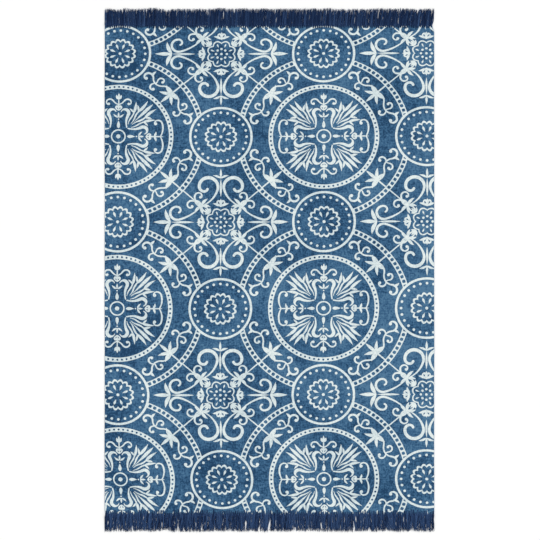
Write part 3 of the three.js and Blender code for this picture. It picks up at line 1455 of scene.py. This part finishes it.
@dataclass
class YarnFringe:
    """One fringe: tassels of loose yarn, each looped through the cloth and over its cut end."""

    SHADE = "shade"
    UV = "strand"

    end: End
    name: str
    cloth: PrintedCloth
    reach: float
    seed: int
    stitch: float                 # how far in from the cut end a tassel goes through the cloth
    stitch_spread: float
    clump: float                  # how far a tassel's strands draw together at its tip: 0 not, 1 wholly
    lean: float                   # how far a whole tassel's tip strays sideways
    scatter: float                # how far a strand's tip strays from its tassel's
    sway: float                   # how far a tassel bows to a side on its way
    crimp: float                  # how far a strand waves about its line
    shade: float                  # the middle shade of its strands, from 0, dark, to 1, light
    shade_spread: float           # how far a strand's shade strays from that
    notches: tuple[Notch, ...]
    tassels: int = 150
    strands: int = 12
    yarn: float = 1.1 * MM        # a strand's radius
    yarn_spread: float = 0.2      # how far it strays, as a share
    taper: tuple[float, float, float] = (0.7, 0.85, 0.25)      # of it at its root and its last two points
    stray: float = 4 * MM         # how far the longest strands reach past the comb that stands for the fringe
    tassel_short: float = 6 * MM  # how much shorter than the longest a tassel may be
    strand_short: float = 12 * MM                         # and a strand than its tassel
    fray: tuple[float, float] = (1.3, 2.6)                # how the strands' shortfalls are spread
    long_wave: float = 47 * MM    # the two waves in which the tassels' lengths rise and fall
    short_wave: float = 13 * MM
    push: tuple[float, float] = (0.4, 1.1)                # how far a strand gives way to a notch
    bunch: float = 0.34           # a tassel's width where it goes through the cloth, as a share of the pitch
    inner_points: tuple[float, float] = (-1.0, -0.45)     # a strand's first two points, in its stitch
    first_out: float = 2 * MM     # its next one, outside the cut end
    spacing: float = 1.35         # and how the others spread out: 1 evenly, more later
    fan_out: tuple[float, float] = (-2 * MM, 4 * MM)      # where a tassel spreads to its full width
    fall: tuple[float, float] = (1 * MM, 14 * MM)         # and where it comes down to the floor
    flare: float = 1.2            # how late a strand turns towards its tip: 1 evenly, more later
    bow: float = 0.6              # how far a strand bows, in its tip's scatter
    tip_crimp: float = 1.6        # how far its very tip strays, in its crimp
    sunk: float = 0.2 * MM        # how far its root lies in the cloth
    layers: int = 3
    layer_on_cloth: float = 0.5   # how far a layer lies above the one under it, in a strand's radii
    layer_on_floor: float = 1.2
    tassel_shade: float = 0.05    # how far a tassel's shade strays from the others'
    shade_ends: tuple[float, float] = (0.02, 0.98)
    twist_step: float = 0.37      # how much further on in its twist each strand begins, in turns
    twist_turns: int = 5
    knot: Knot = Knot()
    finish: FringeYarn = FringeYarn()

    def build(self, material: bpy.types.Material) -> bpy.types.Object:
        """Lays all the strands and knots of the fringe as one mesh.

        Args:
            material: The yarn's finish.

        Returns:
            The finished piece.
        """
        strand = YarnStrand()
        template = strand.build()
        chance = np.random.default_rng(self.seed)
        loose = self._strand_paths(strand.stations, chance)
        knots = self._knot_paths(strand.stations, chance)
        mesh = self._arrayed(template, strand, *[np.concatenate(pair) for pair in zip(loose, knots)])
        common = self._per_strand(chance.normal(0, self.tassel_shade, self.tassels))
        common = np.concatenate([common, np.zeros(self.tassels)])
        shades = chance.normal(self.shade, self.shade_spread, len(common)) + common
        shades = np.repeat(np.clip(shades, *self.shade_ends), len(template.polygons))
        mesh.attributes.new(self.SHADE, "FLOAT", "FACE").data.foreach_set("value", shades.astype(np.float32))
        bpy.data.meshes.remove(template)
        mesh.shade_smooth()
        mesh.materials.append(material)
        return new_object(self.name, mesh)

    def _per_strand(self, values: np.ndarray) -> np.ndarray:
        """Repeats a value of each tassel for each of its strands."""
        return np.repeat(values, self.strands)

    def _roots(self) -> tuple[float, float]:
        """Measures where the fringe begins across the rug, and its tassels' pitch along the drawn-in end.

        Returns:
            Its left end's place and the pitch.
        """
        cut = np.array(self.end.value * self.cloth.length / 2)
        left = -self.cloth.width / 2 + float(self.cloth.selvedges.drawn_in(-1, cut))
        right = self.cloth.width / 2 - float(self.cloth.selvedges.drawn_in(1, cut))
        return left, (right - left) / self.tassels

    def _strand_paths(self, stations: int, chance: np.random.Generator) -> tuple[np.ndarray, ...]:
        """Works out where every loose strand lies.

        Args:
            stations: The points along a strand.
            chance: The fringe's own source of chance.

        Returns:
            The paths, the radius at each of their points, and their lengths.
        """
        count = self.tassels * self.strands
        number = self._per_strand(np.arange(self.tassels)) + 0.5
        rank = np.tile(np.linspace(-0.5, 0.5, self.strands), self.tassels)
        left, pitch = self._roots()
        hole = left + pitch * (number + rank * self.bunch)
        root = left + pitch * (number + rank)
        tip_pitch = self.cloth.width / self.tassels
        tip = -self.cloth.width / 2 + tip_pitch * (number + rank * (1 - self.clump))
        tip = tip + self._per_strand(chance.normal(0, self.lean, self.tassels))
        tip = self._parted(tip + chance.normal(0, self.scatter, count), root, chance)
        reach = self.reach + self.stray - self._shortfall(tip, chance)
        inside = self.stitch + self._per_strand(chance.uniform(-1, 1, self.tassels)) * self.stitch_spread
        away = self._stations_out(stations, inside, reach)
        onward = np.clip(away / reach[:, None], 0, 1)
        sideways = self._sideways(onward, chance)
        spread = (root - hole)[:, None] * eased(away, *self.fan_out)
        x = hole[:, None] + spread + (tip - root)[:, None] * onward ** self.flare + sideways
        limit = self.cloth.width / 2 - self.yarn
        y = self.end.value * (self.cloth.length / 2 + away)
        paths = np.stack([np.clip(x, -limit, limit), y, self._heights(away, chance)], axis=2)
        radii = self.yarn * chance.uniform(1 - self.yarn_spread, 1 + self.yarn_spread, count)[:, None]
        radii = radii * np.ones(stations)
        radii[:, [0, -2, -1]] *= self.taper
        return paths, radii, reach + inside

    def _stations_out(self, stations: int, inside: np.ndarray, reach: np.ndarray) -> np.ndarray:
        """Spaces the points of each strand, closer where it bends over the cloth's cut end.

        Args:
            stations: The points along a strand.
            inside: How far in from the cut end each strand begins.
            reach: How far out each strand ends.

        Returns:
            Each point's distance out from the cut end.
        """
        beyond = np.linspace(0, 1, stations - len(self.inner_points)) ** self.spacing
        inner = inside[:, None] * np.array(self.inner_points)
        return np.concatenate([inner, self.first_out + (reach[:, None] - self.first_out) * beyond], axis=1)

    def _sideways(self, onward: np.ndarray, chance: np.random.Generator) -> np.ndarray:
        """Lets each strand bow to a side with its tassel, wave about its line and stray at its very tip.

        Args:
            onward: How far along its strand each point lies, from 0 to 1.
            chance: The fringe's own source of chance.

        Returns:
            How far each point lies to the side.
        """
        count = len(onward)
        bow = chance.normal(0, self.scatter * self.bow, count)
        bow = bow + self._per_strand(chance.normal(0, self.sway, self.tassels))
        wave = chance.normal(0, self.crimp, count)
        sideways = bow[:, None] * np.sin(math.pi * onward) + wave[:, None] * np.sin(2 * math.pi * onward)
        sideways[:, -1] += chance.normal(0, self.crimp * self.tip_crimp, count)
        return sideways

    def _heights(self, away: np.ndarray, chance: np.random.Generator) -> np.ndarray:
        """Lays the strands in layers, over the cloth's cut end and down to the floor.

        Args:
            away: Each point's distance out from the cut end.
            chance: The fringe's own source of chance.

        Returns:
            Each point's height.
        """
        layer = chance.permuted(np.tile(np.arange(self.strands) % self.layers, (self.tassels, 1)), axis=1)
        layer = layer.reshape(-1, 1)
        lifted = self.cloth.thickness + self.yarn * (1 + self.layer_on_cloth * layer)
        rest = self.yarn * (1 + self.layer_on_floor * layer)
        z = lifted + (rest - lifted) * eased(away, *self.fall)
        z[:, 0] = self.cloth.thickness - self.sunk
        return z

    def _shortfall(self, tip: np.ndarray, chance: np.random.Generator) -> np.ndarray:
        """Measures how far each strand falls short of the longest.

        Args:
            tip: Where the strands' tips lie across the rug.
            chance: The fringe's own source of chance.

        Returns:
            The shortfall of each.
        """
        wave = uneven_wave(tip, self.long_wave, self.short_wave, self.end.value, 0)
        uneven = self._per_strand(chance.uniform(0, 1, self.tassels))
        frayed = chance.beta(*self.fray, len(tip))
        short = self.tassel_short * (wave + uneven) / 2 + self.strand_short * frayed
        for notch in self.notches:
            short = short + notch.dip * np.exp(-((tip - notch.place) / notch.reach) ** 2)
        return short

    def _parted(self, tip: np.ndarray, root: np.ndarray, chance: np.random.Generator) -> np.ndarray:
        """Pushes the tips away from the middle of each notch.

        Args:
            tip: Where the strands' tips lie across the rug.
            root: Where the strands leave the cloth.
            chance: The fringe's own source of chance.

        Returns:
            The tips' new places.
        """
        for notch in self.notches:
            side = np.where(root > notch.place, 1.0, -1.0)
            near = np.exp(-np.abs(root - notch.place) / notch.reach)
            tip = tip + side * notch.opening * chance.uniform(*self.push, len(tip)) * near
        return tip

    def _knot_paths(self, stations: int, chance: np.random.Generator) -> tuple[np.ndarray, ...]:
        """Works out where the knots lie.

        Args:
            stations: The points along a loop.
            chance: The fringe's own source of chance.

        Returns:
            The paths, the radius at each of their points, and their lengths.
        """
        knot = self.knot
        left, pitch = self._roots()
        middle = left + pitch * (np.arange(self.tassels) + 0.5)
        across = np.linspace(-1, 1, stations)
        x = middle[:, None] + across * pitch * knot.half_width
        away = knot.out + chance.normal(0, knot.stray, self.tassels)
        tilt = chance.normal(0, knot.stray, self.tassels)
        y = self.end.value * (self.cloth.length / 2 + away[:, None] + tilt[:, None] * across)
        low = self.cloth.thickness * knot.foot
        arch = np.sqrt(np.clip(1 - across ** 2, 0, 1)) * np.ones_like(x)
        z = low + (self.cloth.thickness + knot.rise - low) * arch + self.yarn * knot.lift
        radii = np.full(x.shape, self.yarn * knot.radius)
        return np.stack([x, y, z], axis=2), radii, np.full(self.tassels, pitch * knot.length)

    def _arrayed(self, template: bpy.types.Mesh, strand: YarnStrand, paths: np.ndarray, radii: np.ndarray,
                 lengths: np.ndarray) -> bpy.types.Mesh:
        """Arrays the strand and lays each copy along its path.

        Args:
            template: The straight strand.
            strand: Its sizes.
            paths: The points that each copy follows.
            radii: The radius at each of those points.
            lengths: The length of each copy, for its UV map.

        Returns:
            All the copies as one mesh.
        """
        local = np.array([v.co for v in template.vertices])
        station = np.rint(local[:, 1] * (strand.stations - 1)).astype(int)
        ahead = np.gradient(paths, axis=1)
        ahead /= np.linalg.norm(ahead, axis=2, keepdims=True)
        aside = np.cross(ahead, np.array([0.0, 0.0, 1.0]))
        aside /= np.linalg.norm(aside, axis=2, keepdims=True)
        above = np.cross(aside, ahead)
        off = aside[:, station] * local[:, 0][:, None] + above[:, station] * local[:, 2][:, None]
        laid = paths[:, station] + radii[:, station, None] * off
        copies = len(paths)
        sizes = [len(p.vertices) for p in template.polygons]
        corners = np.concatenate([np.array(p.vertices) for p in template.polygons])
        indices = (corners + np.arange(copies)[:, None] * len(local)).ravel()
        starts = np.concatenate([[0], np.cumsum(np.tile(sizes, copies))[:-1]])
        mesh = bpy.data.meshes.new(self.name)
        mesh.vertices.add(copies * len(local))
        mesh.vertices.foreach_set("co", laid.astype(np.float32).ravel())
        mesh.loops.add(len(indices))
        mesh.loops.foreach_set("vertex_index", indices.astype(np.int32))
        mesh.polygons.add(len(starts))
        mesh.polygons.foreach_set("loop_start", starts.astype(np.int32))
        mesh.update(calc_edges=True)
        plain = np.empty(len(corners) * 2, np.float32)
        template.uv_layers[self.UV].data.foreach_get("uv", plain)
        turns = np.tile(plain.reshape(1, -1, 2), (copies, 1, 1))
        turns[..., 1] *= (lengths / self.finish.ply_pitch)[:, None]
        turns[..., 1] += np.arange(copies)[:, None] * self.twist_step % self.twist_turns
        mesh.uv_layers.new(name=self.UV).data.foreach_set("uv", turns.ravel())
        shape = bmesh.new()
        shape.from_mesh(mesh)
        bmesh.ops.recalc_face_normals(shape, faces=shape.faces)
        shape.to_mesh(mesh)
        shape.free()
        return mesh


# ---------------------------------------------------------------- the studio


@dataclass(frozen=True)
class Studio:
    """A pale floor, soft light from all round and from above, and a camera that looks straight down."""

    floor_size: float = 14.0
    floor_parts: int = 4
    floor_drop: float = 0.1 * MM   # how far the floor lies under the rug
    view_span: float = 1.9655      # what the camera takes in, across the floor
    camera_height: float = 16.0
    camera_x: float = 2.0 * MM
    sensor: float = 36.0
    sky: str = "#FFFFFF"
    sky_strength: float = 0.74
    lamp_strength: float = 1.15
    lamp_softness: float = 50.0    # how wide the lamp looks from the rug, in degrees
    lamp_place: tuple[float, float, float] = (1.2, 1.6, 4.0)

    def build(self) -> None:
        """Builds the floor, the light and the camera."""
        self._floor()
        self._light()
        self._camera()

    def _floor(self) -> None:
        """Lays the floor just under the rug."""
        shape = bmesh.new()
        bmesh.ops.create_grid(
            shape, x_segments=self.floor_parts, y_segments=self.floor_parts, size=self.floor_size / 2)
        bmesh.ops.translate(shape, verts=shape.verts, vec=(0, 0, -self.floor_drop))
        mesh = bpy.data.meshes.new("studio_floor")
        shape.to_mesh(mesh)
        shape.free()
        mesh.materials.append(PaleFloor().build())
        new_object("studio_floor", mesh)

    def _light(self) -> None:
        """Hangs a broad soft lamp over the head end and fills the rest with a white sky."""
        world = bpy.data.worlds.new("studio_sky")
        world.use_nodes = True
        sky = world.node_tree.nodes["Background"]
        sky.inputs["Color"].default_value = linear(self.sky)
        sky.inputs["Strength"].default_value = self.sky_strength
        bpy.context.scene.world = world
        lamp = bpy.data.lights.new("soft_lamp", "SUN")
        lamp.energy = self.lamp_strength
        lamp.angle = math.radians(self.lamp_softness)
        holder = bpy.data.objects.new("soft_lamp", lamp)
        holder.location = self.lamp_place
        holder.rotation_euler = (-holder.location).to_track_quat("-Z", "Y").to_euler()
        bpy.context.scene.collection.objects.link(holder)

    def _camera(self) -> None:
        """Sets the camera high above the rug with a long lens, so that it sees it square on."""
        lens = bpy.data.cameras.new("top_camera")
        lens.sensor_width = self.sensor
        lens.lens = self.sensor * self.camera_height / self.view_span
        holder = bpy.data.objects.new("top_camera", lens)
        holder.location = (self.camera_x, 0, self.camera_height)
        bpy.context.scene.collection.objects.link(holder)
        bpy.context.scene.camera = holder
        bpy.context.scene.view_settings.view_transform = "Standard"


# ---------------------------------------------------------------- the rug


@dataclass
class Rug:
    """The whole rug, sized by the CAD nodes that its pieces stand for."""

    FLAT = (1.2, 1.78)

    def build(self) -> None:
        """Builds the cloth and the two fringes, ties each piece to the rug's body, hides the CAD node that it
        stands for and reports it.
        """
        low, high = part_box("woven_field")
        width, length = self.FLAT
        cloth = PrintedCloth(width, length, high.z - low.z, Selvedges(length / 2))
        sheet = cloth.build()
        self._declare(sheet, "woven_field", "printed_cotton")
        yarn = FringeYarn().build()
        for fringe in self._fringes(cloth):
            piece = fringe.build(yarn)
            self._declare(piece, "fringe_head" if fringe.end is End.HEAD else "fringe_foot", "fringe_yarn")

    @staticmethod
    def _fringes(cloth: PrintedCloth) -> tuple[YarnFringe, YarnFringe]:
        """Sets out the fringes: the head's dense and combed straight, the foot's looser and more tangled.

        Args:
            cloth: The cloth that they are looped through.

        Returns:
            The head's fringe and the foot's.
        """
        reach_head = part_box("fringe_head")[1].y - cloth.length / 2
        reach_foot = -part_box("fringe_foot")[0].y - cloth.length / 2
        head = YarnFringe(
            end=End.HEAD, name="yarn_fringe_head", cloth=cloth, reach=reach_head, seed=11, stitch=8.5 * MM,
            stitch_spread=3 * MM, clump=0.05, lean=1.3 * MM, scatter=2.0 * MM, sway=0.3 * MM, crimp=0.7 * MM,
            shade=0.31, shade_spread=0.29,
            notches=(Notch(-0.555, 1.6 * MM, 10 * MM, 1 * MM), Notch(-0.37, 1.0 * MM, 22 * MM, 5 * MM),
                     Notch(-0.31, 1.6 * MM, 10 * MM, 0), Notch(0.352, 2.8 * MM, 12 * MM, 1 * MM),
                     Notch(0.467, 2.0 * MM, 10 * MM, 2 * MM), Notch(0.534, 2.4 * MM, 12 * MM, 3 * MM)))
        foot = YarnFringe(
            end=End.FOOT, name="yarn_fringe_foot", cloth=cloth, reach=reach_foot, seed=23, stitch=12 * MM,
            stitch_spread=6 * MM, clump=0.12, lean=3.0 * MM, scatter=3.2 * MM, sway=1.8 * MM, crimp=1.7 * MM,
            shade=0.53, shade_spread=0.42,
            notches=(Notch(-0.5, 1.6 * MM, 12 * MM, 0), Notch(-0.38, 3.6 * MM, 14 * MM, 5 * MM),
                     Notch(-0.18, 1.4 * MM, 12 * MM, 0), Notch(0.15, 2.0 * MM, 12 * MM, 2 * MM),
                     Notch(0.36, 2.6 * MM, 12 * MM, 2 * MM), Notch(0.52, 2.4 * MM, 12 * MM, 2 * MM)))
        return head, foot

    @staticmethod
    def _declare(piece: bpy.types.Object, node: str, slot: str) -> None:
        """Ties a piece to the rug's one body, hides the CAD node that it stands for, and reports it.

        Args:
            piece: The piece.
            node: The CAD node's name.
            slot: The finish's name. Not used.
        """
        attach(piece, "root")
        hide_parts(node)
        LOG.info("%s: %d faces", piece.name, len(piece.data.polygons))


def main() -> None:
    """Builds the rug in its studio."""
    logging.basicConfig(level=logging.INFO, format="%(name)s: %(message)s")
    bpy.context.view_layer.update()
    Studio().build()
    Rug().build()


if __name__ == "__main__":
    main()
